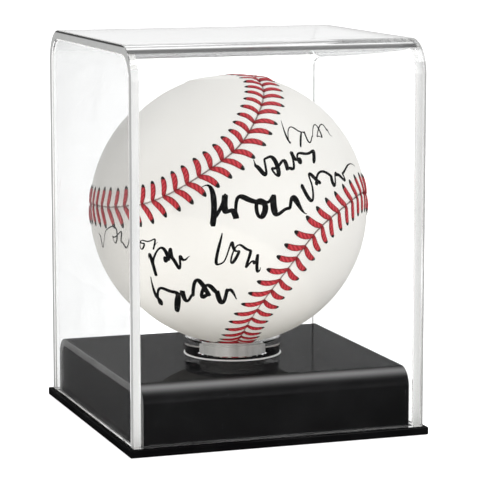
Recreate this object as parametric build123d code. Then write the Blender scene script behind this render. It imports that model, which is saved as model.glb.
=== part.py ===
from build123d import *
import os
from math import cos, pi, radians, sin, sqrt

# Clear display case for one baseball: a flat base plate with a hollow black riser and a seat
# ring on it, a clear cover that lifts off, and the ball. Millimetres. The origin is the middle
# of the plate's underside, +X runs right along the front, +Y to the back and +Z up.

# Base plate: a square of black sheet that stands 1.2 mm proud of the cover all round.
PLATE_SIDE = 82.4
PLATE_THICKNESS = 2.0

# Riser: one black sheet bent over the front and back top edges, with two flat end panels
# let in flush between its legs. It is open underneath and glued to the plate.
RISER_SIDE = 73.8
RISER_HEIGHT = 15.5
RISER_SHEET = 2.0
RISER_BEND = 5.0

# Seat ring: clear, glued to the riser, dished on top to the ball's radius plus a gap that the
# raised stitches need.
RING_OUTER_D = 26.0
RING_BORE_D = 12.0
RING_RIM_HEIGHT = 4.8
SEAT_GAP = 0.6

# Cover: one clear sheet bent over the front and back top edges, with two flat end panels.
COVER_SIDE = 80.0
COVER_HEIGHT = 102.5
COVER_SHEET = 2.5
COVER_BEND = 9.0

# Ball: outside diameter of the leather, then the outside diameter of each layer inside it.
BALL_D = 73.0
LEATHER_THICKNESS = 1.3
COTTON_WINDING_D = 70.3
OUTER_WOOL_D = 68.8
MIDDLE_WOOL_D = 62.0
INNER_WOOL_D = 56.0
RED_RUBBER_D = 34.9
BLACK_RUBBER_D = 28.6
CORK_D = 20.6
LAYER_GAP = 0.05

# Seam: half the closest angle between its two runs, and how far it swings sideways.
SEAM_HALF_BRIDGE = 0.430
SEAM_SWING = 0.377
SEAM_KNOTS = 48
BALL_TURN = (73.9, 2.7, 131.5)

# Stitches: one pair at each of 108 places along the seam, meeting at the seam in a V that
# opens against the seam's own direction. Each leg is a thread of this length and lean.
STITCH_PAIRS = 108
STITCH_THREAD_D = 0.36
STITCH_LIFT = 0.02
STITCH_ROOT = 0.45
STITCH_LEGS = ((5.4, 62.0), (4.3, -82.0))

PLATE_TOP = PLATE_THICKNESS
RISER_TOP = PLATE_TOP + RISER_HEIGHT
RING_RIM_TOP = RISER_TOP + RING_RIM_HEIGHT
SEAT_RADIUS = BALL_D / 2 + SEAT_GAP
BALL_Z = RING_RIM_TOP + sqrt(SEAT_RADIUS ** 2 - (RING_OUTER_D / 2) ** 2)


def save(shape, node):
    shape.label = node
    export_step(shape, f"parts/{node}.step")


def block(x_size, y_size, height, bottom):
    return Pos(0, 0, bottom) * Box(
        x_size, y_size, height, align=(Align.CENTER, Align.CENTER, Align.MIN)
    )


def bridge_section(width, height, radius):
    """Upright outline of a bent sheet: square at the foot, rounded at both top corners."""
    outline = Plane.YZ * Rectangle(width, height, align=(Align.CENTER, Align.MIN))
    top = outline.vertices().group_by(Axis.Z)[-1]
    return fillet(top, radius)


def bent_wrap(side, height, sheet, bend, bottom):
    """A sheet bent down at the front and the back; it runs the full width in X."""
    outer = extrude(bridge_section(side, height, bend), side / 2, both=True)
    inner = extrude(bridge_section(side - 2 * sheet, height - sheet, bend - sheet), side, both=True)
    return Pos(0, 0, bottom) * (outer - inner)


def end_panel(side, height, sheet, bend, bottom, hand):
    """A flat panel let in between the wrap's legs, its outer face flush with the wrap's end."""
    section = bridge_section(side - 2 * sheet, height - sheet, bend - sheet)
    slab = extrude(section, sheet / 2, both=True)
    return Pos(hand * (side - sheet) / 2, 0, bottom) * slab


def seat_ring():
    blank = Pos(0, 0, RISER_TOP) * Cylinder(
        RING_OUTER_D / 2, 2 * RING_RIM_HEIGHT, align=(Align.CENTER, Align.CENTER, Align.MIN)
    )
    bore = Pos(0, 0, RISER_TOP) * Cylinder(RING_BORE_D / 2, 4 * RING_RIM_HEIGHT)
    return blank - bore - Pos(0, 0, BALL_Z) * Sphere(SEAT_RADIUS)


def seam_point(turn, radius):
    """Point of the closed seam at this parameter, which runs from 0 to 4 pi."""
    polar = pi / 2 - (pi / 2 - SEAM_HALF_BRIDGE) * cos(turn)
    azimuth = turn / 2 + SEAM_SWING * sin(2 * turn)
    return Vector(sin(polar) * cos(azimuth), sin(polar) * sin(azimuth), cos(polar)) * radius


def seam_edge(radius):
    points = [seam_point(4 * pi * i / SEAM_KNOTS, radius) for i in range(SEAM_KNOTS)]
    return Edge.make_spline(points, periodic=True)


def placed(shape):
    """Stand a piece made about the ball's centre in the seat, turned as the ball is shown."""
    return Location((0, 0, BALL_Z), BALL_TURN) * shape


def leather_panels():
    """Both figure-eight covers: one shell cut along the seam by a ruled wall."""
    shell = Rot(0, 0, 20) * (Sphere(BALL_D / 2) - Sphere(BALL_D / 2 - LEATHER_THICKNESS))
    wall = Face.make_surface_from_curves(seam_edge(BALL_D / 2 - 6), seam_edge(BALL_D / 2 + 4))
    halves = shell.solid().split(wall, keep=Keep.ALL)
    pole = Vector(0, 0, (BALL_D - LEATHER_THICKNESS) / 2)
    return sorted(halves, key=lambda half: 0 if half.is_inside(pole) else 1)


def stitch_leg(foot, run, length, lean):
    """One thread lying round the leather, from beside the seam to its hole."""
    outward = foot.normalized()
    heading = run.rotate(Axis((0, 0, 0), outward), lean)
    middle_radius = BALL_D / 2 + STITCH_LIFT + STITCH_THREAD_D / 2
    axle = outward.cross(heading)
    start = outward.rotate(Axis((0, 0, 0), axle), STITCH_ROOT / middle_radius * 180 / pi)
    ahead = heading.rotate(Axis((0, 0, 0), axle), STITCH_ROOT / middle_radius * 180 / pi)
    section = Plane(origin=start * middle_radius, z_dir=ahead) * Circle(STITCH_THREAD_D / 2)
    sweep_angle = (length - STITCH_ROOT) / middle_radius * 180 / pi
    return revolve(section, Axis((0, 0, 0), axle), sweep_angle).solid()


def stitching():
    seam = seam_edge(1.0)
    legs = []
    for i in range(STITCH_PAIRS):
        foot = seam.position_at((i + 0.5) / STITCH_PAIRS)
        backward = seam.tangent_at((i + 0.5) / STITCH_PAIRS) * -1
        for length, lean in STITCH_LEGS:
            legs.append(stitch_leg(foot, backward, length, -lean))
    return Compound(children=legs)


def ball_layer(outer_d, inner_d=None):
    layer = Sphere(outer_d / 2)
    if inner_d is not None:
        layer -= Sphere(inner_d / 2 + LAYER_GAP)
    return layer


os.makedirs("parts", exist_ok=True)

save(block(PLATE_SIDE, PLATE_SIDE, PLATE_THICKNESS, 0), "base_plate")

riser = (RISER_SIDE, RISER_HEIGHT, RISER_SHEET, RISER_BEND, PLATE_TOP)
save(bent_wrap(*riser), "riser_wrap")
save(end_panel(*riser, -1), "riser_left_panel")
save(end_panel(*riser, 1), "riser_right_panel")
save(seat_ring(), "ball_seat_ring")

cover = (COVER_SIDE, COVER_HEIGHT, COVER_SHEET, COVER_BEND, PLATE_TOP)
save(bent_wrap(*cover), "cover_wrap")
save(end_panel(*cover, -1), "cover_left_panel")
save(end_panel(*cover, 1), "cover_right_panel")

panel_a, panel_b = leather_panels()
save(placed(panel_a), "ball_leather_a")
save(placed(panel_b), "ball_leather_b")
save(placed(stitching()), "ball_stitches")
save(placed(ball_layer(COTTON_WINDING_D, OUTER_WOOL_D)), "ball_cotton_winding")
save(placed(ball_layer(OUTER_WOOL_D, MIDDLE_WOOL_D)), "ball_outer_wool_winding")
save(placed(ball_layer(MIDDLE_WOOL_D, INNER_WOOL_D)), "ball_middle_wool_winding")
save(placed(ball_layer(INNER_WOOL_D, RED_RUBBER_D)), "ball_inner_wool_winding")
save(placed(ball_layer(RED_RUBBER_D, BLACK_RUBBER_D)), "ball_red_rubber")
save(placed(ball_layer(BLACK_RUBBER_D, CORK_D)), "ball_black_rubber")
save(placed(ball_layer(CORK_D)), "ball_cork_core")
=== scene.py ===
from math import acos, cos, pi, radians, sin, sqrt

import bmesh
import bpy
import numpy as np
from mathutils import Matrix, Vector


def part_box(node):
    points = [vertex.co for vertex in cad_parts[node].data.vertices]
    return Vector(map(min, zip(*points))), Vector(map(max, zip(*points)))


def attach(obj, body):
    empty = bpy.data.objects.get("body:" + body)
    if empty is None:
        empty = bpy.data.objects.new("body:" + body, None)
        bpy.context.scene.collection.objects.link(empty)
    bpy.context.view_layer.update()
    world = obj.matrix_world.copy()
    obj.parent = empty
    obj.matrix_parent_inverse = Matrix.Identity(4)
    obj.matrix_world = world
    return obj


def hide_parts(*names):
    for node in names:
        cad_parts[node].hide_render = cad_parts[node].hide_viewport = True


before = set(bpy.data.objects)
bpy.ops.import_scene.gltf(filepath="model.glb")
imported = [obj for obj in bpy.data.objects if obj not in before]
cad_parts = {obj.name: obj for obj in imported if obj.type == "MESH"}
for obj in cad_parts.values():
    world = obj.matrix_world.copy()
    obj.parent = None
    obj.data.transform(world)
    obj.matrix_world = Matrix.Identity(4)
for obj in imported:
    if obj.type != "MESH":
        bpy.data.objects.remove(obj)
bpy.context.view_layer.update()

# Camera: a long lens that stands to the left of the case's front and a little above it,
# turned right to face the case and tipped down at it, with no shift.
CAMERA_PLACE = (-0.2086, -0.6063, 0.1444)
CAMERA_DOWN_DEG = 8.52
CAMERA_RIGHT_DEG = 19.2
CAMERA_LENS_MM = 178.3

camera = bpy.data.objects.new("camera", bpy.data.cameras.new("camera"))
camera.data.sensor_width = 36.0
camera.data.lens = CAMERA_LENS_MM
camera.data.clip_end = 20.0
camera.location = CAMERA_PLACE
camera.rotation_euler = (radians(90 - CAMERA_DOWN_DEG), 0, radians(-CAMERA_RIGHT_DEG))
bpy.context.scene.collection.objects.link(camera)
bpy.context.scene.camera = camera

# Base plate: a square of 2 mm black acrylic under everything, its edges flame polished
# with the arrises just taken off. It lies flat on the table; the riser is glued to it.
PLATE_CORNER = 0.0004
PLATE_CORNER_STEPS = 3
ARRIS = 0.00018
SMOOTH_BELOW = 0.35  # radians; edges that bend by more are sharp
ACRYLIC_IOR = 1.49
HAIRLINES = (((0.3, 0.2, 0.9), (900, 40, 40)), ((0.9, 0.5, -0.6), (50, 900, 60)))
# Painted highlight: this grey is laid along the riser's bends in place of the light they
# would catch.
BEND_HIGHLIGHT_GREY = (0.23, 0.23, 0.232)


def grid_quads(rows, columns, ring=False):
    """Corner numbers of the quads of a rows by columns grid; ring joins the last column to
    the first."""
    row = np.arange(rows - 1)[:, None]
    column = np.arange(columns if ring else columns - 1)[None, :]
    following = (column + 1) % columns
    corners = (row * columns + column, row * columns + following,
               (row + 1) * columns + following, (row + 1) * columns + column)
    return np.stack(np.broadcast_arrays(*corners), -1).reshape(-1, 4)


def add_piece(name, points, faces, materials, body, stands_for=(),
              crease=SMOOTH_BELOW):
    """A closed mesh from an array of points and lists of corner numbers, its faces turned
    outwards, smooth but for edges that bend by more than crease; it rides on a body."""
    mesh = bpy.data.meshes.new(name)
    mesh.from_pydata(np.asarray(points).reshape(-1, 3), [], faces)
    work = bmesh.new()
    work.from_mesh(mesh)
    bmesh.ops.recalc_face_normals(work, faces=work.faces)
    work.to_mesh(mesh)
    work.free()
    mesh.polygons.foreach_set("use_smooth", np.ones(len(mesh.polygons), bool))
    mesh.set_sharp_from_angle(angle=crease)
    for material in materials:
        mesh.materials.append(material)
    made = bpy.data.objects.new(name, mesh)
    bpy.context.scene.collection.objects.link(made)
    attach(made, body)
    if stands_for:
        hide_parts(*stands_for)
    return made


def rounded_outline(half, low, high, foot_radius, top_radius, inset, steps):
    """Rectangle with quarter-round corners, walked once round: each corner's centre plus
    (its radius - inset) times the cosine and sine of the angle."""
    turn = np.linspace(0, pi / 2, steps + 1)
    corners = (
        (half - top_radius, high - top_radius, top_radius, 0),
        (top_radius - half, high - top_radius, top_radius, pi / 2),
        (foot_radius - half, low + foot_radius, foot_radius, pi),
        (half - foot_radius, low + foot_radius, foot_radius, 3 * pi / 2),
    )
    return np.concatenate([
        np.stack((across + (radius - inset) * np.cos(start + turn),
                  up + (radius - inset) * np.sin(start + turn)), -1)
        for across, up, radius, start in corners
    ])


def flat_panel(outline, thickness, arris):
    """Flat sheet: the outline inset by the arris on one face, full size just below both
    faces, and inset again on the other; columns are across, up and off the middle."""
    levels = ((arris, thickness / 2), (0, thickness / 2 - arris),
              (0, arris - thickness / 2), (arris, -thickness / 2))
    loops = [np.column_stack((outline(inset), np.full(len(outline(0)), level)))
             for inset, level in levels]
    count = len(loops[0])
    faces = grid_quads(len(loops), count, ring=True).tolist()
    faces += [list(range(count)), list(range(3 * count, 4 * count))]
    return np.concatenate(loops), faces


def feed(tree, node, inputs):
    """Give a node's sockets, by name or number, a constant or another node's output."""
    for socket, value in dict(inputs).items():
        if isinstance(value, bpy.types.NodeSocket):
            tree.links.new(value, node.inputs[socket])
        else:
            node.inputs[socket].default_value = value


def put_node(tree, kind, inputs=(), **settings):
    """A new shader node with its settings and what its sockets are fed."""
    node = tree.nodes.new("ShaderNode" + kind)
    for name, value in settings.items():
        setattr(node, name, value)
    feed(tree, node, inputs)
    return node


def own_place(tree, **mapping):
    """The piece's own coordinates in metres, turned or stretched where asked."""
    place = put_node(tree, "TexCoord").outputs["Object"]
    if mapping:
        place = put_node(tree, "Mapping", {"Vector": place, **mapping}).outputs["Vector"]
    return place


def noise(tree, scale, detail=2.0, **mapping):
    """Cloudy noise over the piece, from 0 to 1."""
    return put_node(tree, "TexNoise", {"Vector": own_place(tree, **mapping), "Scale": scale,
                                       "Detail": detail}).outputs["Fac"]


def ramp(tree, socket, start, end, low=0.0, high=1.0, interpolation="LINEAR"):
    """A number that goes from low to high as the socket goes from start to end."""
    return put_node(tree, "MapRange", {"Value": socket, "From Min": start, "From Max": end,
                                       "To Min": low, "To Max": high},
                    interpolation_type=interpolation).outputs["Result"]


def reckoned(tree, operation, *values):
    """The result of one sum on numbers or sockets."""
    return put_node(tree, "Math", enumerate(values), operation=operation).outputs[0]


def scaled(tree, socket, factor, base):
    """A number that changes over the surface: socket times factor plus base."""
    return reckoned(tree, "MULTIPLY_ADD", socket, factor, base)


def blended(tree, mask, low, high):
    """A colour that goes from low to high as the mask goes from 0 to 1; either end can be a
    colour or a socket."""
    ends = [(*end, 1.0) if isinstance(end, tuple) else end for end in (low, high)]
    return put_node(tree, "Mix", {"Factor": mask, 6: ends[0], 7: ends[1]},
                    data_type="RGBA").outputs[2]


def stored(tree, name):
    """The number that the piece's points hold under this name."""
    return put_node(tree, "Attribute", attribute_name=name).outputs["Fac"]


def relief(tree, shader, height, depth, strength=1.0):
    """Fine relief in the shader's normal: a height of 1 stands for the depth in metres."""
    bump = put_node(tree, "Bump", {"Height": height, "Distance": depth, "Strength": strength})
    feed(tree, shader, {"Normal": bump.outputs["Normal"]})


def new_group(name, given, made):
    """A node group that takes and gives plain numbers, with its two end nodes."""
    group = bpy.data.node_groups.new(name, "ShaderNodeTree")
    for titles, kind in ((given, "INPUT"), (made, "OUTPUT")):
        for title in titles:
            group.interface.new_socket(name=title, in_out=kind, socket_type="NodeSocketFloat")
    return group, group.nodes.new("NodeGroupInput"), group.nodes.new("NodeGroupOutput")


def polish_group():
    """Node group for sheet that has been handled: fine crossed hairlines and soft cloudy
    smudges, both from 0 to 1, and a height for the hairlines and the sheet's slow ripple."""
    group, given, out = new_group("handled_polish", ("Hairline Density",),
                                  ("Hairlines", "Smudge", "Height"))
    lines = [ramp(group, noise(group, 1.0, 1.0, Rotation=turn, Scale=stretch), 0.66, 0.74)
             for turn, stretch in HAIRLINES]
    dense = reckoned(group, "MULTIPLY", reckoned(group, "MAXIMUM", *lines),
                     given.outputs["Hairline Density"])
    ripple = noise(group, 22.0, 0.0)
    feed(group, out, {"Hairlines": dense,
                      "Smudge": ramp(group, noise(group, 55.0, 4.0), 0.45, 0.75),
                      "Height": reckoned(group, "MULTIPLY_ADD", dense, -0.02, ripple)})
    return group


handled_polish = polish_group()


def new_material(name):
    """A material with its Principled shader, and the node tree to build in."""
    material = bpy.data.materials.new(name)
    material.use_nodes = True
    return material, material.node_tree, material.node_tree.nodes["Principled BSDF"]


def black_acrylic(name, colour, gloss, coat_roughness, hairlines):
    """Cast black sheet: a deep colour under a clear polished skin, and a painted highlight:
    a lighter grey laid along each bend."""
    material, tree, shader = new_material(name)
    polish = put_node(tree, "Group", {"Hairline Density": hairlines},
                      node_tree=handled_polish)
    lighter = tuple(1.6 * c + 0.002 for c in colour)
    sheet = blended(tree, polish.outputs["Smudge"], colour, lighter)
    feed(tree, shader, {
        # Painted highlight: the bends turn grey by the stored bell curve.
        "Base Color": blended(tree, stored(tree, "painted_bend_highlight"), sheet, BEND_HIGHLIGHT_GREY),
        "Coat Weight": scaled(tree, polish.outputs["Hairlines"], -0.08, gloss),
        "Coat Roughness": coat_roughness, "Coat IOR": ACRYLIC_IOR,
        "Specular IOR Level": 0.0, "Roughness": 0.5,
    })
    relief(tree, shader, polish.outputs["Height"], 0.0002, 0.05)
    return material


# name, colour, gloss of the skin, its roughness, density of hairlines
black_plate = black_acrylic("black_plate", (0.003, 0.003, 0.0033), 0.05, 0.03, 0.4)
black_sheet = black_acrylic("black_sheet", (0.006, 0.006, 0.0065), 0.16, 0.03, 0.5)
black_edge = black_acrylic("black_sheet_edge", (0.17, 0.17, 0.172), 0.6, 0.20, 0.2)

plate_low, plate_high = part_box("base_plate")
plate_side = plate_high[0] - plate_low[0]
plate_thickness = plate_high[2] - plate_low[2]
points, faces = flat_panel(
    lambda inset: rounded_outline(plate_side / 2, -plate_side / 2, plate_side / 2,
                                  PLATE_CORNER, PLATE_CORNER, inset,
                                  PLATE_CORNER_STEPS),
    plate_thickness, ARRIS)
points[:, 2] += plate_thickness / 2
add_piece("plate", points, faces, [black_plate], "base", ["base_plate"])

# Riser wrap: one 2 mm black sheet, heated along two lines and bent down at the front and
# the back. Its cut ends show as paler strips round the end panels; it is glued to the plate.
RISER_SHEET = 0.0020
RISER_BEND = 0.0050
GLUE_LINE = 0.00003
BEND_STEPS = 18
BEND_HOLD = 0.0004  # a row of points this far beyond each bend keeps the flats flat
FOOT_SHARE = 0.3  # of the arris, taken off the section at the feet
BEND_HIGHLIGHT_PEAK_DEG, BEND_HIGHLIGHT_SPREAD_DEG = 58, 15  # where in the bend the painted highlight is brightest, and how widely it spreads
BEND_HIGHLIGHT_END_DEG = 89


def bent_sheet(width, side, height, thickness, bend, arris):
    """Sheet carried over a bridge-shaped path in Y and Z: up, round a quarter circle, along,
    round and down. Its section is a rectangle in X and the path's normal, arrises off; the
    section is a little smaller at both feet. The last array is a painted highlight for each
    point: a bell curve of the angle through each bend."""
    half, middle = side / 2 - thickness / 2, bend - thickness / 2
    straight = height - bend
    turn = np.linspace(0, pi / 2, BEND_STEPS + 1)
    foot = FOOT_SHARE * arris
    rise = np.array([0, foot, straight - BEND_HOLD])
    first = np.stack((-half + middle - middle * np.cos(turn),
                      straight + middle * np.sin(turn)), -1)
    path = np.concatenate((
        np.stack((np.full(3, -half), rise), -1), first,
        [[-half + middle + BEND_HOLD, straight + middle],
         [half - middle - BEND_HOLD, straight + middle]],
        (first * (-1, 1))[::-1], np.stack((np.full(3, half), rise[::-1]), -1)))
    flat = np.zeros(3)
    angle = np.concatenate((flat, turn, [pi / 2, pi / 2], pi - turn[::-1], flat + pi))
    normal = np.stack((-np.cos(angle), np.sin(angle)), -1)
    inset = np.zeros(len(path))
    inset[[0, -1]] = foot
    x, t = width / 2, thickness / 2
    section = np.array([(x - arris, t), (x, t - arris), (x, arris - t), (x - arris, -t),
                        (arris - x, -t), (-x, arris - t), (-x, t - arris), (arris - x, t)])
    inward = np.sign(section)
    shaped = section[None] - inset[:, None, None] * inward[None]
    points = np.empty((len(path), len(section), 3))
    points[..., 0] = shaped[..., 0]
    points[..., 1:] = path[:, None] + shaped[..., 1:] * normal[:, None]
    faces = grid_quads(len(path), len(section), ring=True).tolist()
    count = points.shape[0] * points.shape[1]
    faces += [list(range(8)), list(range(count - 8, count))]
    through = np.degrees(np.minimum(angle, pi - angle))
    # Painted highlight: a bell curve of the angle through each bend, none on the flats.
    bend_highlight = (np.exp(-((through - BEND_HIGHLIGHT_PEAK_DEG) / BEND_HIGHLIGHT_SPREAD_DEG) ** 2)
              * (through < BEND_HIGHLIGHT_END_DEG))
    return points.reshape(-1, 3), faces, np.repeat(bend_highlight, 8)


def point_number(made, name, values):
    """Store one number for each point, for the material to read by name."""
    layer = made.data.attributes.new(name, "FLOAT", "POINT")
    layer.data.foreach_set("value", np.asarray(values, np.float32).ravel())


def mark_cut_ends(made, axis=0, least=0.6):
    """Give faces that look along an axis, the sheet's sawn ends, the piece's second
    material; least is the cosine from which they count."""
    count = len(made.data.polygons)
    normals = np.empty(count * 3, np.float32)
    made.data.polygons.foreach_get("normal", normals)
    made.data.polygons.foreach_set(
        "material_index", (np.abs(normals.reshape(-1, 3)[:, axis]) > least).astype(np.int32))


riser_low, riser_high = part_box("riser_wrap")
riser_side = riser_high[1] - riser_low[1]
riser_height = riser_high[2] - riser_low[2]
points, faces, bend_highlight = bent_sheet(riser_side, riser_side, riser_height, RISER_SHEET,
                                   RISER_BEND, ARRIS)
points[:, 2] += riser_low[2]
riser = add_piece("riser", points, faces, [black_sheet, black_edge], "base",
                  ["riser_wrap"])
mark_cut_ends(riser)
# Store the painted bend highlight for the black sheet to read.
point_number(riser, "painted_bend_highlight", bend_highlight)

# Riser end panels: flat black sheet let in between the wrap's legs, a hair's gap of cement
# round each, the outer face flush with the wrap's cut ends.
PANEL_FOOT_RADIUS = 0.0003


def end_panel(side, height, thickness, bend, hand, bottom):
    """Flat panel with its two top corners rounded to fit the inside of the bend, stood up
    across X on the left (hand -1) or the right (hand 1)."""
    half = side / 2 - thickness - GLUE_LINE
    panel, faces = flat_panel(
        lambda inset: rounded_outline(half, 0, height - thickness - GLUE_LINE,
                                      PANEL_FOOT_RADIUS, bend - thickness - GLUE_LINE,
                                      inset, BEND_STEPS),
        thickness, ARRIS)
    points = np.stack((hand * (side - thickness) / 2 + panel[:, 2], panel[:, 0],
                       panel[:, 1] + bottom), -1)
    return points, faces


for hand, word in ((-1, "left"), (1, "right")):
    points, faces = end_panel(riser_side, riser_height, RISER_SHEET, RISER_BEND, hand,
                              riser_low[2])
    add_piece(f"riser_{word}_end", points, faces, [black_sheet], "base",
              [f"riser_{word}_panel"])

# Seat ring: a thick ring turned from clear acrylic rod and polished, its top dished to the
# ball's curve. It is glued to the riser and keeps the ball from rolling.
RING_OUTER = 0.0130
RING_BORE = 0.0060
RING_ARRIS = 0.00022
SEAT_GAP = 0.0006
BALL_RADIUS = 0.0365
DISH_STEPS = 14
TURNED_STEPS = 160


def turned(profile):
    """Closed profile of radius and height swept once round Z: each point's radius times the
    cosine and sine of the angle."""
    steps = TURNED_STEPS
    angle = np.linspace(0, 2 * pi, steps, endpoint=False)
    radius, height = profile[:, 0], profile[:, 1]
    points = np.stack((np.outer(np.cos(angle), radius), np.outer(np.sin(angle), radius),
                       np.broadcast_to(height, (steps, len(height)))), -1)
    closed = np.concatenate((points, points[:1]))
    faces = grid_quads(steps + 1, len(profile), ring=True) % (steps * len(profile))
    return closed[:-1].reshape(-1, 3), faces.tolist()


def clear_acrylic(name, tint, hairlines):
    """Clear cast sheet or rod: glass to the eye, open to lamps and to scattered light."""
    material, tree, shader = new_material(name)
    polish = put_node(tree, "Group", {"Hairline Density": hairlines},
                      node_tree=handled_polish)
    smudged = tuple(0.97 * c for c in tint)
    feed(tree, shader, {"Base Color": blended(tree, polish.outputs["Smudge"], tint, smudged),
                        "Transmission Weight": 1.0, "IOR": ACRYLIC_IOR, "Roughness": 0.0})
    relief(tree, shader, polish.outputs["Height"], 0.0001, 0.04)
    path = put_node(tree, "LightPath")
    last = shader.outputs["BSDF"]
    for ray in ("Is Diffuse Ray", "Is Shadow Ray"):
        let_through = put_node(tree, "BsdfTransparent", {"Color": (0.97, 0.97, 0.97, 1)})
        mix = put_node(tree, "MixShader", {0: path.outputs[ray], 1: last,
                                           2: let_through.outputs[0]})
        last = mix.outputs[0]
    feed(tree, tree.nodes["Material Output"], {"Surface": last})
    return material


def satin_acrylic():
    """Acrylic left as the drill or the cement left it: whitish, with streaks that run
    straight up and down round the axis. On the ring's outer foot this whitish satin is a
    painted highlight."""
    material, tree, shader = new_material("satin_rod")
    streaks = ramp(tree, noise(tree, 1.0, 2.5, Scale=(260, 260, 4)), 0.38, 0.64)
    feed(tree, shader, {"Base Color": blended(tree, streaks, (0.60, 0.605, 0.60), (1, 1, 1)),
                        "Roughness": 0.35})
    return material


clear_rod = clear_acrylic("clear_rod", (0.99, 0.99, 0.99), 0.1)
satin_rod = satin_acrylic()
ring_low, ring_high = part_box("ball_seat_ring")
ball_z = float(ring_high[2]) + sqrt((BALL_RADIUS + SEAT_GAP) ** 2 - RING_OUTER ** 2)
across = np.linspace(RING_OUTER - RING_ARRIS, RING_BORE + RING_ARRIS, DISH_STEPS)
dish = ball_z - np.sqrt((BALL_RADIUS + SEAT_GAP) ** 2 - across ** 2)
ring_floor = float(ring_low[2])
profile = np.concatenate((
    [(RING_BORE, ring_floor + RING_ARRIS), (RING_BORE + RING_ARRIS, ring_floor),
     (RING_OUTER - RING_ARRIS, ring_floor), (RING_OUTER, ring_floor + RING_ARRIS),
     (RING_OUTER, dish[0] - RING_ARRIS)],
    np.stack((across, dish), -1), [(RING_BORE, dish[-1] - RING_ARRIS)]))
points, faces = turned(profile)
ring = add_piece("seat_ring", points, faces, [clear_rod, satin_rod], "base",
                 ["ball_seat_ring"])
centres = np.empty(len(ring.data.polygons) * 3, np.float32)
ring.data.polygons.foreach_get("center", centres)
centres = centres.reshape(-1, 3)
reach = np.hypot(centres[:, 0], centres[:, 1])
satin_and_foot_highlight = (reach < RING_BORE + RING_ARRIS) & (centres[:, 2] > ring_floor + RING_ARRIS)
# The ring's outer foot arris takes the whitish satin too: a painted highlight, part of the
# bright line round the foot.
satin_and_foot_highlight |= (reach > RING_OUTER - RING_ARRIS) & (centres[:, 2] < ring_floor + RING_ARRIS)
ring.data.polygons.foreach_set("material_index", satin_and_foot_highlight.astype(np.int32))

# Ring cement: the thin white bead that squeezes out round the ring's foot when it is pressed
# onto the riser, and sets there. Its white is also a painted highlight: the bright line round
# the foot.
CEMENT_BEAD = 0.00034
CEMENT_GAP = 0.00002
CEMENT_ARC_STEPS = 5
CEMENT_SMOOTH = 0.9


def cement_foot_highlight_material():
    """Set cement: milky, slightly lumpy, and white as a painted highlight round the ring's
    foot.
    """
    material, tree, shader = new_material("cement_foot_highlight")
    lumps = noise(tree, 900.0)
    # Painted highlight: the bead's white stands for the bright line round the ring's foot.
    feed(tree, shader, {"Base Color": blended(tree, lumps, (0.85, 0.85, 0.85), (1, 1, 1)),
                        "Roughness": 0.25})
    relief(tree, shader, lumps, 0.00005)
    return material


arc = np.linspace(0, pi / 2, CEMENT_ARC_STEPS + 1)
foot = RING_OUTER + CEMENT_GAP
profile = np.concatenate((
    np.stack((foot + CEMENT_BEAD * np.cos(arc), ring_floor + CEMENT_BEAD * np.sin(arc)), -1),
    [(foot, ring_floor)]))
points, faces = turned(profile)
add_piece("ring_cement_highlight", points, faces, [cement_foot_highlight_material()], "base",
          crease=CEMENT_SMOOTH)

# Cover wrap: one 2.5 mm clear sheet heated along two lines and bent down at the front and
# the back. It stands loose on the plate and lifts off.
COVER_SHEET = 0.0025
COVER_BEND = 0.0090
PAINTED_SHADE_LINE = 0.0008  # height of the painted shade line, black, along the top of the sawn end
PAINTED_SHADE_FADE = 0.0002
SQUARE_ON = 0.9  # cosine from which a face counts as looking along the axis


def scraped_edge(name, dark, light, painted_shade_from):
    """Sawn and scraped edge of clear sheet: milky, with marks along the cut, and painted
    shade:
    black where the cut meets the polished face, from a height up."""
    material, tree, shader = new_material(name)
    marks = noise(tree, 1.0, 2.0, Scale=(300, 2600, 60))
    height = put_node(tree, "SeparateXYZ", {0: own_place(tree)}).outputs["Z"]
    # Painted shade: a black line along the top of the cut, where it meets the polished face.
    rim = ramp(tree, height, painted_shade_from, painted_shade_from + PAINTED_SHADE_FADE)
    milky = blended(tree, marks, dark, light)
    feed(tree, shader, {"Base Color": blended(tree, rim, milky, (0.02, 0.02, 0.02)),
                        "Roughness": 0.3})
    return material


clear_sheet = clear_acrylic("clear_sheet", (0.992, 0.996, 0.996), 0.25)
cover_low, cover_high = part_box("cover_wrap")
clear_cut = scraped_edge("sawn_edge", (0.34, 0.345, 0.345), (0.60, 0.61, 0.61),
                         cover_high[2] - PAINTED_SHADE_LINE)
clear_joint = scraped_edge("cemented_edge", (0.84, 0.85, 0.85), (1.0, 1.0, 1.0),
                           cover_high[2])
cover_side = cover_high[1] - cover_low[1]
cover_height = cover_high[2] - cover_low[2]
points, faces, _ = bent_sheet(cover_side, cover_side, cover_height, COVER_SHEET,
                              COVER_BEND, ARRIS)
points[:, 2] += cover_low[2] + GLUE_LINE * (points[:, 2] < COVER_BEND)
cover = add_piece("cover", points, faces, [clear_sheet, clear_cut], "cover",
                  ["cover_wrap"])
mark_cut_ends(cover, least=SQUARE_ON)

# Cover end panels: flat clear sheet let in between the wrap's legs and cemented, flush with
# its cut ends. The edges towards the front and the back are milky with cement.
for hand, word in ((-1, "left"), (1, "right")):
    points, faces = end_panel(cover_side, cover_height, COVER_SHEET, COVER_BEND, hand,
                              cover_low[2] + GLUE_LINE)
    points[:, 2] -= GLUE_LINE * (points[:, 2] > cover_height / 2)
    end = add_piece(f"cover_{word}_end", points, faces, [clear_sheet, clear_joint], "cover",
                    [f"cover_{word}_panel"])
    mark_cut_ends(end, axis=1, least=SQUARE_ON)

# Ball core: a cork pill in black and then red rubber, shut inside the windings. The solids
# stay as they are and take their own finishes.


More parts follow.
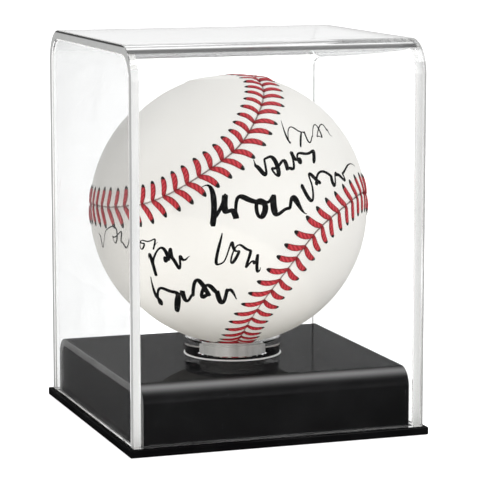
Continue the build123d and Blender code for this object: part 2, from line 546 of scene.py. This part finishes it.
def core_material(name, dark, light, grain_scale, roughness, cells):
    """Cork or rubber: two colours mixed by cells (cork granules) or by fine noise, with the
    same pattern as relief."""
    material, tree, shader = new_material(name)
    if cells:
        pattern = put_node(tree, "TexVoronoi", {"Vector": own_place(tree),
                                                "Scale": grain_scale}).outputs["Distance"]
    else:
        pattern = noise(tree, grain_scale)
    feed(tree, shader, {"Base Color": blended(tree, pattern, dark, light),
                        "Roughness": scaled(tree, pattern, 0.2, roughness)})
    relief(tree, shader, pattern, 0.0002)
    return material


def refinish(node, material):
    """Put a new finish on a CAD solid that stays as it is."""
    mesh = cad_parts[node].data
    mesh.materials.clear()
    mesh.materials.append(material)


for node, name, dark, light, grain, roughness, cells in (
    ("ball_cork_core", "cork", (0.20, 0.10, 0.05), (0.50, 0.30, 0.16), 700, 0.7, True),
    ("ball_black_rubber", "black_rubber", (0.015, 0.015, 0.015), (0.04, 0.04, 0.04), 900,
     0.6, False),
    ("ball_red_rubber", "red_rubber", (0.32, 0.03, 0.025), (0.48, 0.07, 0.05), 900, 0.6,
     False),
):
    refinish(node, core_material(name, dark, light, grain, roughness, cells))

# Ball windings: three layers of wool yarn and one of fine cotton, wound tight over the core
# with the turns crossing at every angle. They are shut inside the leather.


def winding_group():
    """Node group for wound yarn: two sets of fine parallel turns that cross, given the
    number of turns per metre; it puts out how high the uppermost strand stands."""
    group, given, out = new_group("wound_yarn", ("Turns",), ("Strand",))
    layers = [put_node(group, "TexWave", {"Vector": own_place(group, Rotation=turn),
                                          "Scale": given.outputs["Turns"],
                                          "Distortion": 1.5}).outputs["Fac"]
              for turn in ((0.4, 0.9, 0.2), (-0.7, 0.3, 1.1))]
    feed(group, out, {"Strand": reckoned(group, "MAXIMUM", *layers)})
    return group


wound_yarn = winding_group()
for node, dark, light, turns in (
    ("ball_inner_wool_winding", (0.16, 0.155, 0.15), (0.38, 0.37, 0.36), 260.0),
    ("ball_middle_wool_winding", (0.48, 0.46, 0.41), (0.80, 0.78, 0.72), 320.0),
    ("ball_outer_wool_winding", (0.16, 0.155, 0.15), (0.36, 0.35, 0.34), 320.0),
    ("ball_cotton_winding", (0.55, 0.53, 0.48), (0.86, 0.84, 0.79), 520.0),
):
    material, tree, shader = new_material(node.replace("ball_", ""))
    yarn = put_node(tree, "Group", {"Turns": turns}, node_tree=wound_yarn)
    feed(tree, shader, {"Base Color": blended(tree, yarn.outputs["Strand"], dark, light),
                        "Roughness": 0.9})
    relief(tree, shader, yarn.outputs["Strand"], 0.0003)
    refinish(node, material)

# Ball leather: two figure-eight covers of white hide, 1.3 mm thick, butted together along
# one closed seam. The stitches draw the edges down and raise a low welt on each side.
LEATHER = 0.0013
SEAM_HALF_BRIDGE = 0.430
SEAM_SWING = 0.377
BALL_TURN_DEG = (73.9, 2.7, 131.5)
GROOVE_DEPTH = 0.00042
GROOVE_WIDTH = 0.00045
WELT_HEIGHT = 0.00012
WELT_PLACE = 0.0024
WELT_WIDTH = 0.0014
LEATHER_ROWS = 330
LEATHER_COLUMNS = 84
LEATHER_SMOOTH = 0.9
SEAM_SAMPLES = 900
SEAM_BLOCK = 8000  # directions compared with the seam at a time, to save memory
SEAM_TIP = 0.004  # radians kept clear of the seam's own turning point at a cover's two ends
EDGE_CROWDING = 0.6  # how strongly the columns crowd towards the seam


def ball_turn():
    """Rotation of the ball as it lies in the seat: about its own X, then Y, then Z."""
    a, b, c = np.radians(BALL_TURN_DEG)
    about_x = np.array(((1, 0, 0), (0, cos(a), -sin(a)), (0, sin(a), cos(a))))
    about_y = np.array(((cos(b), 0, sin(b)), (0, 1, 0), (-sin(b), 0, cos(b))))
    about_z = np.array(((cos(c), -sin(c), 0), (sin(c), cos(c), 0), (0, 0, 1)))
    return about_x @ about_y @ about_z


def in_seat(points):
    """Points made about the ball's own centre, turned and lifted to where the ball lies."""
    return points @ ball_turn().T + (0, 0, ball_z)


def seam_line(turn):
    """Unit directions along the seam, for a parameter from 0 to 4 pi: the angle from the
    pole swings twice as a cosine, while the angle round it advances with a ripple."""
    polar = pi / 2 - (pi / 2 - SEAM_HALF_BRIDGE) * np.cos(turn)
    azimuth = turn / 2 + SEAM_SWING * np.sin(2 * turn)
    return np.stack((np.sin(polar) * np.cos(azimuth), np.sin(polar) * np.sin(azimuth),
                     np.cos(polar)), -1)


def seam_distance(directions):
    """How far each direction on the leather lies from the seam, in metres: the smallest
    angle to any of its points times the ball's radius."""
    turn = np.linspace(0, 4 * pi, SEAM_SAMPLES, endpoint=False)
    line = seam_line(turn).astype(np.float32)
    nearest = np.full(len(directions), -1.0, np.float32)
    for first in range(0, len(directions), SEAM_BLOCK):
        part = slice(first, first + SEAM_BLOCK)
        nearest[part] = (directions[part].astype(np.float32) @ line.T).max(1)
    return np.arccos(np.clip(nearest, -1, 1)) * BALL_RADIUS


def leather_radius(directions):
    """Radius of the leather in each direction: the ball's, less a bell curve of the distance
    from the seam, plus a lower and wider one either side."""
    away = seam_distance(directions)
    radius = (BALL_RADIUS - GROOVE_DEPTH * np.exp(-(away / GROOVE_WIDTH) ** 2)
              + WELT_HEIGHT * np.exp(-((away - WELT_PLACE) / WELT_WIDTH) ** 2))
    return radius, away


def leather_cover(mirror):
    """One figure-eight cover. Each row is an arc that crosses it at right angles to its
    length, between the seam's two runs: the row's ends are seam points with the same height
    and depth, at plus and minus the same angle from the middle. The second cover is the
    first turned a quarter and turned over. An inner skin lies one thickness below."""
    turn = np.linspace(-pi + SEAM_TIP, pi - SEAM_TIP, LEATHER_ROWS)
    edge = seam_line(turn)
    lengthwise = np.arctan2(edge[:, 1], edge[:, 2])
    half = np.arcsin(np.clip(edge[:, 0], 0, 1))
    share = np.sin(np.linspace(-pi / 2, pi / 2, LEATHER_COLUMNS))
    share = (EDGE_CROWDING * share
             + (1 - EDGE_CROWDING) * np.linspace(-1, 1, LEATHER_COLUMNS))
    angle = half[:, None] * share[None]
    direction = np.stack((np.sin(angle), np.cos(angle) * np.sin(lengthwise)[:, None],
                          np.cos(angle) * np.cos(lengthwise)[:, None]), -1)
    if mirror:
        direction = np.stack((-direction[..., 1], direction[..., 0], -direction[..., 2]), -1)
    flat = direction.reshape(-1, 3)
    radius, away = leather_radius(flat)
    outer = flat * radius[:, None]
    inner = flat * (BALL_RADIUS - LEATHER)
    rows, columns = LEATHER_ROWS, LEATHER_COLUMNS
    quads = grid_quads(rows, columns)
    count = rows * columns
    left = np.arange(rows) * columns
    rim = np.concatenate((np.arange(columns), left[1:] + columns - 1,
                          np.arange(count - 2, count - columns - 1, -1), left[1:-1][::-1]))
    after = np.roll(rim, -1)
    wall = np.stack((rim, after, after + count, rim + count), -1)
    faces = np.concatenate((quads, quads[:, ::-1] + count, wall)).tolist()
    return in_seat(np.concatenate((outer, inner))), faces, np.concatenate((away, away))


def leather_material():
    """White hide: a soft pebbled grain, faint cloudy patches of tone, and painted shade: a
    dark line down in the seam."""
    material, tree, shader = new_material("white_leather")
    hide = blended(tree, noise(tree, 70.0, 5.0), (0.87, 0.85, 0.81), (0.94, 0.93, 0.90))
    # Painted shade: the leather turns brown-grey in the groove of the seam.
    outside_painted_seam_shade = ramp(tree, stored(tree, "from_seam"), 0.00008, 0.00036,
                         interpolation="SMOOTHSTEP")
    pores = put_node(tree, "TexVoronoi", {"Vector": own_place(tree), "Scale": 1500.0},
                     feature="SMOOTH_F1")
    creases = noise(tree, 600.0, 4.0)
    feed(tree, shader, {
        "Base Color": blended(tree, outside_painted_seam_shade, (0.20, 0.13, 0.12), hide),
        "Roughness": scaled(tree, creases, 0.2, 0.38), "Specular IOR Level": 0.25,
    })
    relief(tree, shader, reckoned(tree, "ADD", pores.outputs["Distance"], creases), 0.00006,
           0.45)
    return material


white_leather = leather_material()
for mirror, word in ((False, "a"), (True, "b")):
    points, faces, away = leather_cover(mirror)
    leather = add_piece(f"leather_{word}", points, faces, [white_leather], "ball",
                      [f"ball_leather_{word}"], crease=LEATHER_SMOOTH)
    point_number(leather, "from_seam", away)

# Ball stitches: red waxed thread, 108 pairs. Each leg comes up out of the seam, lies fat
# and slightly bowed on the leather, and goes down through a punched hole.
STITCH_PAIRS = 108
STITCH_LEGS = ((0.0065, -62.0, 0.00086), (0.0055, 80.0, 0.00082))  # length, lean, half width
STITCH_ROOT = 0.00002
STITCH_BOW = 0.00060
STITCH_HALF_HEIGHT = 0.00030
# share of the way along a leg, then how full it is and how high its middle lies there
STITCH_SWELL = ((0, 0.12, 0.35, 0.7, 0.9, 1), (0.55, 0.80, 1.0, 0.95, 0.66, 0.36))
STITCH_LIFT = ((0, 0.12, 0.5, 0.85, 1), (-0.00016, 0.00004, 0.00012, 0.00002, -0.00024))
STITCH_LEAN_SPREAD_DEG = 2.0
STITCH_LENGTH_SPREAD = 0.02
STITCH_SMOOTH = 1.2
STITCH_STATIONS = 10
STITCH_SIDES = 8


def seam_feet(count):
    """Evenly spaced places along the seam, and its direction there: the parameter is read
    off the running length of a fine polyline."""
    turn = np.linspace(0, 4 * pi, 4001)
    line = seam_line(turn)
    length = np.concatenate(([0], np.cumsum(np.linalg.norm(np.diff(line, axis=0), axis=1))))
    at = np.interp((np.arange(count) + 0.5) / count * length[-1], length, turn)
    ahead = seam_line(at + 1e-4) - seam_line(at - 1e-4)
    return seam_line(at), ahead / np.linalg.norm(ahead, axis=1)[:, None]


def stitch_legs(feet, run, length, lean_deg, half_width, seed):
    """All the legs on one side of the seam. A leg follows a great circle from its foot, in
    the seam's direction turned by the lean. Across it is an ellipse whose width and height
    swell and taper along the leg; its middle bows sideways as half a sine wave."""
    random = np.random.default_rng(seed)
    lean = np.radians(lean_deg
                      + random.normal(0, STITCH_LEAN_SPREAD_DEG, len(feet)))[:, None]
    heading = run * np.cos(lean) + np.cross(feet, run) * np.sin(lean)
    side = np.cross(feet, heading)
    reach = length * (1 + random.normal(0, STITCH_LENGTH_SPREAD, len(feet)))[:, None]
    along = np.linspace(0, 1, STITCH_STATIONS)[None]
    travel = (STITCH_ROOT + (reach - STITCH_ROOT) * along) / BALL_RADIUS
    swell = np.interp(along[0], *STITCH_SWELL)[None]
    middle_height = np.interp(along[0], *STITCH_LIFT)[None]
    bow = -np.sign(lean_deg) * STITCH_BOW * np.sin(pi * along)
    angle = np.linspace(0, 2 * pi, STITCH_SIDES, endpoint=False)
    outward = (np.cos(travel)[..., None] * feet[:, None]
               + np.sin(travel)[..., None] * heading[:, None])
    wide = half_width * swell[..., None] * np.cos(angle) + bow[..., None]
    high = (middle_height[..., None]
            + STITCH_HALF_HEIGHT * swell[..., None] ** 0.5 * np.sin(angle))
    points = (outward[:, :, None] * (BALL_RADIUS + high)[..., None]
              + side[:, None, None] * wide[..., None])
    count = STITCH_STATIONS * STITCH_SIDES
    faces = grid_quads(STITCH_STATIONS, STITCH_SIDES, ring=True)
    first = np.arange(len(feet))[:, None, None] * count
    quads = (first + faces[None]).reshape(-1, 4).tolist()
    ends = np.stack((np.arange(STITCH_SIDES), np.arange(count - STITCH_SIDES, count)))
    caps = (first + ends[None]).reshape(-1, STITCH_SIDES).tolist()
    shape = (len(feet), STITCH_STATIONS, STITCH_SIDES)
    return (points.reshape(-1, 3), quads + caps,
            np.broadcast_to(along[..., None], shape).ravel(),
            np.broadcast_to(np.cos(angle), shape).ravel())


def thread_material():
    """Red waxed thread: plies that run slantwise along each leg, and painted shade: deeper
    red at its sides and where it comes out of the seam, and a black end where it goes down
    its hole."""
    material, tree, shader = new_material("red_waxed_thread")
    along, across = stored(tree, "along"), stored(tree, "across")
    turns = reckoned(tree, "MULTIPLY_ADD", along, 5.0, scaled(tree, across, 0.6, 0.0))
    wave = reckoned(tree, "SINE", scaled(tree, turns, 2 * pi, 0.0))
    ply = scaled(tree, wave, 0.5, 0.5)
    red = blended(tree, ply, (0.36, 0.015, 0.025), (0.66, 0.052, 0.068))
    # Painted shade: each leg darkens towards both its sides.
    side = ramp(tree, reckoned(tree, "ABSOLUTE", across), 0.55, 1.0)
    red = blended(tree, side, red, (0.20, 0.010, 0.014))
    # Painted shade: darker where each leg comes out of the seam.
    red = blended(tree, ramp(tree, along, 0.0, 0.22), (0.26, 0.012, 0.018), red)
    # Painted shadow: the last part of each leg turns black where it goes down its hole.
    painted_hole_shadow = ramp(tree, along, 0.76, 0.83, interpolation="SMOOTHSTEP")
    feed(tree, shader, {"Base Color": blended(tree, painted_hole_shadow, red, (0.008, 0.007, 0.007)),
                        "Roughness": 0.55, "Specular IOR Level": 0.35})
    relief(tree, shader, ply, 0.00008, 0.5)
    return material


feet, ahead = seam_feet(STITCH_PAIRS)
sides = [stitch_legs(feet, -ahead, length, lean, half_width, seed)
         for seed, (length, lean, half_width) in enumerate(STITCH_LEGS)]
first_count = len(sides[0][0])
stitches = add_piece(
    "stitches", in_seat(np.concatenate([s[0] for s in sides])),
    sides[0][1] + [[corner + first_count for corner in face] for face in sides[1][1]],
    [thread_material()], "ball", ["ball_stitches"], crease=STITCH_SMOOTH)
point_number(stitches, "along", np.concatenate([s[2] for s in sides]))
point_number(stitches, "across", np.concatenate([s[3] for s in sides]))

# Ball markings: eight flourishes in black ink, as from a felt pen, on the middle of the
# side that faces the room. They are loops and waves only; the ink lies on the leather.
INK_BEARING_DEG = 19.2
INK_RAISED_DEG = 8.5
INK_PROUD = 0.00003
INK_SECTION = ((1.0, 0.0), (0.75, 1.0), (-0.75, 1.0), (-1.0, 0.0), (-0.75, -1.0),
               (0.75, -1.0))
INK_SMOOTH = 1.0
INK_STATIONS = 220
INK_MARKS = (
    # across, up, width, height, tilt in degrees, pen width (millimetres), waves, seed
    (19.8, 19.2, 12.5, 7.6, 9.0, 0.48, 4.6, 3),
    (13.8, 11.4, 15.5, 7.0, 14.0, 1.05, 4.6, 11),
    (24.6, 7.4, 14.5, 6.4, 22.0, 1.00, 4.2, 5),
    (4.8, 0.2, 25.5, 10.0, -2.0, 1.45, 4.3, 8),
    (-26.4, -8.4, 14.0, 6.4, -10.0, 0.50, 4.7, 21),
    (-16.8, -13.4, 9.6, 7.4, 6.0, 1.00, 3.2, 13),
    (2.2, -12.6, 12.6, 9.4, -16.0, 0.72, 3.6, 17),
    (-10.2, -22.6, 21.5, 8.2, 4.0, 1.35, 5.4, 2),
)


def ink_stroke(width, height, tilt_deg, waves, seed):
    """Centre line of one flourish in millimetres: along it an even advance that slips back
    once a wave, in some waves enough to loop; up it three sines of unlike pitch, with one
    tall first stroke and a falling tail at the end."""
    random = np.random.default_rng(seed)
    phase = random.uniform(0, 2 * pi, 3)
    t = np.linspace(0, 1, INK_STATIONS)
    turn = 2 * pi * waves * t
    slip = 0.16 + 0.34 * np.sin(0.41 * turn + phase[2])
    x = width * ((t - 0.5) + slip / waves * np.sin(turn + 0.35 * cos(phase[0])))
    tall = (0.52 + 0.48 * np.exp(-((t - 0.10) / 0.13) ** 2)) * (1 - 0.45 * t ** 6)
    y = height * (0.42 * tall * np.cos(turn) * (1 + 0.40 * np.sin(0.61 * turn + phase[1]))
                  + 0.10 * np.sin(0.29 * turn + phase[0])
                  + 0.09 * np.sin(2.3 * turn + phase[1]))
    tilt = radians(tilt_deg)
    return x * cos(tilt) - y * sin(tilt), x * sin(tilt) + y * cos(tilt), t, phase


def ink_mark(across, up, width, height, tilt_deg, pen, waves, seed):
    """Ribbon along a flourish laid on the ball: each point of the line is carried straight
    back from a flat sheet before the ball to its surface, and the section is a flat
    hexagon, wider on down strokes, that stands 0.03 mm proud of the leather."""
    x, y, t, phase = ink_stroke(width, height, tilt_deg, waves, seed)
    x, y = (x + across) / 1000, (y + up) / 1000
    bearing, raised = radians(INK_BEARING_DEG), radians(INK_RAISED_DEG)
    facing = np.array((-sin(bearing) * cos(raised), -cos(bearing) * cos(raised), sin(raised)))
    right = np.array((cos(bearing), -sin(bearing), 0.0))
    upward = np.cross(facing, right)
    depth = np.sqrt(np.maximum(BALL_RADIUS ** 2 - x ** 2 - y ** 2, 1e-9))
    out = x[:, None] * right + y[:, None] * upward + depth[:, None] * facing
    out /= np.linalg.norm(out, axis=1)[:, None]
    ahead = np.gradient(out, axis=0)
    ahead /= np.linalg.norm(ahead, axis=1)[:, None]
    side = np.cross(out, ahead)
    down = np.clip(-ahead @ upward, -0.2, 1)
    taper = np.clip(np.minimum(t, 1 - t) / 0.05, 0.25, 1)
    half = pen / 2000 * taper * (0.72 + 0.45 * down + 0.08 * np.sin(40 * t + phase[2]))
    section = np.array(INK_SECTION)
    corners = len(section)
    placed = (out[:, None] + (half[:, None] * section[None, :, 0])[..., None] * side[:, None]
              / BALL_RADIUS)
    placed /= np.linalg.norm(placed, axis=2)[..., None]
    local = placed.reshape(-1, 3) @ ball_turn()
    radius = (leather_radius(local)[0].reshape(placed.shape[:2])
              + INK_PROUD * section[None, :, 1])
    points = placed * radius[..., None] + (0, 0, ball_z)
    count = INK_STATIONS * corners
    faces = grid_quads(INK_STATIONS, corners, ring=True).tolist()
    faces += [list(range(corners)), list(range(count - corners, count))]
    return points, faces


def ink_material():
    """Black ink soaked into hide: nearly black, a little greyer where the pen skipped."""
    material, tree, shader = new_material("black_ink")
    skip = noise(tree, 900.0, 3.0)
    feed(tree, shader, {
        "Base Color": blended(tree, ramp(tree, skip, 0.55, 0.75), (0.004, 0.004, 0.0045),
                              (0.03, 0.03, 0.03)),
        "Roughness": scaled(tree, skip, 0.2, 0.45), "Specular IOR Level": 0.1,
    })
    return material


black_ink = ink_material()
for number, mark in enumerate(INK_MARKS, 1):
    points, faces = ink_mark(*mark)
    add_piece(f"ink_mark_{number}", points, faces, [black_ink], "ball",
              crease=INK_SMOOTH)

# Floor: a wide pale table top, seamless to the horizon. It glows a little, so that it is
# white to the eye, and polished faces see it first as a dark card.
FLOOR_REACH = 8.0
FLOOR_LEVEL = -0.0002

material, tree, shader = new_material("pale_floor")
path = put_node(tree, "LightPath")
direct = reckoned(tree, "LESS_THAN", path.outputs["Diffuse Depth"], 0.5)
feed(tree, shader, {
    "Base Color": (0.90, 0.90, 0.90, 1), "Roughness": 0.9, "Specular IOR Level": 0.1,
    "Emission Color": (1, 1, 1, 1), "Emission Strength": scaled(tree, direct, 0.80, 0.0),
})
mirrored = reckoned(tree, "COMPARE", path.outputs["Glossy Depth"], 1.0, 0.4)
across = put_node(tree, "SeparateXYZ", {0: own_place(tree)}).outputs["X"]
card = put_node(tree, "Emission", {"Strength": ramp(tree, across, -0.20, 0.05, 0.10, 0.015)})
mix = put_node(tree, "MixShader", {0: mirrored, 1: shader.outputs["BSDF"],
                                   2: card.outputs[0]})
feed(tree, tree.nodes["Material Output"], {"Surface": mix.outputs[0]})
mesh = bpy.data.meshes.new("floor")
mesh.from_pydata([(x * FLOOR_REACH, y * FLOOR_REACH, FLOOR_LEVEL)
                  for x, y in ((-1, -1), (1, -1), (1, 1), (-1, 1))], [], [(0, 1, 2, 3)])
mesh.materials.append(material)
floor = bpy.data.objects.new("floor", mesh)
bpy.context.scene.collection.objects.link(floor)

# Studio: an even white room that lights softly, a large soft box high on the right, a low
# one on the left, and a card's bounce from below that only the ball itself shades.
LIGHT_BOUNCES = 40  # enough for light that runs to and fro inside the clear sheets
BALL_MIDDLE = 0.05  # height the lamps are aimed at

world = bpy.data.worlds.new("studio")
world.use_nodes = True
bpy.context.scene.world = world
tree = world.node_tree
place = put_node(tree, "TexCoord").outputs["Generated"]
height = put_node(tree, "SeparateXYZ", {0: place}).outputs["Z"]
path = put_node(tree, "LightPath")
lit = put_node(tree, "Mix", {"Factor": path.outputs["Is Diffuse Ray"],
                             2: ramp(tree, height, 0.0, 0.4, 0.70, 0.95), 3: 0.73})
seen = reckoned(tree, "MAXIMUM", path.outputs["Is Camera Ray"],
                path.outputs["Is Transmission Ray"])
bright = put_node(tree, "Mix", {"Factor": seen, 2: lit.outputs[0],
                                3: ramp(tree, height, 0.15, 0.6, 1.4, 0.08)})
feed(tree, tree.nodes["Background"], {"Color": (1, 1, 1, 1), "Strength": bright.outputs[0]})

for name, place, size, radiance, colour in (
    ("key", (0.75, -0.65, 1.25), (0.9, 0.9), 4.0, (1, 1, 1)),
    ("fill", (-1.20, -0.60, 0.20), (0.9, 0.4), 1.8, (1, 1, 1)),
    ("bounce", (-0.45, -0.45, -0.70), (0.9, 0.9), 2.7, (1, 0.96, 0.88)),
):
    lamp = bpy.data.objects.new(name, bpy.data.lights.new(name, "AREA"))
    lamp.data.shape = "RECTANGLE"
    lamp.data.size, lamp.data.size_y = size
    lamp.data.energy = radiance * pi * size[0] * size[1]
    lamp.data.color = colour
    lamp.location = place
    away = np.array(place) - (0, 0, BALL_MIDDLE)
    lamp.rotation_euler = (acos(away[2] / np.linalg.norm(away)), 0,
                           np.arctan2(away[1], away[0]) + pi / 2)
    lamp.visible_camera = False
    lamp.visible_glossy = name == "key"
    lamp.visible_transmission = False
    bpy.context.scene.collection.objects.link(lamp)
under = bpy.data.collections.new("blocks_bounce")
under.objects.link(bpy.data.objects["leather_a"])
under.objects.link(bpy.data.objects["leather_b"])
bpy.data.objects["bounce"].light_linking.blocker_collection = under

scene = bpy.context.scene
scene.view_settings.view_transform = "Standard"
scene.cycles.caustics_refractive = False
scene.cycles.caustics_reflective = False
scene.cycles.max_bounces = LIGHT_BOUNCES
scene.cycles.glossy_bounces = LIGHT_BOUNCES
scene.cycles.transmission_bounces = LIGHT_BOUNCES
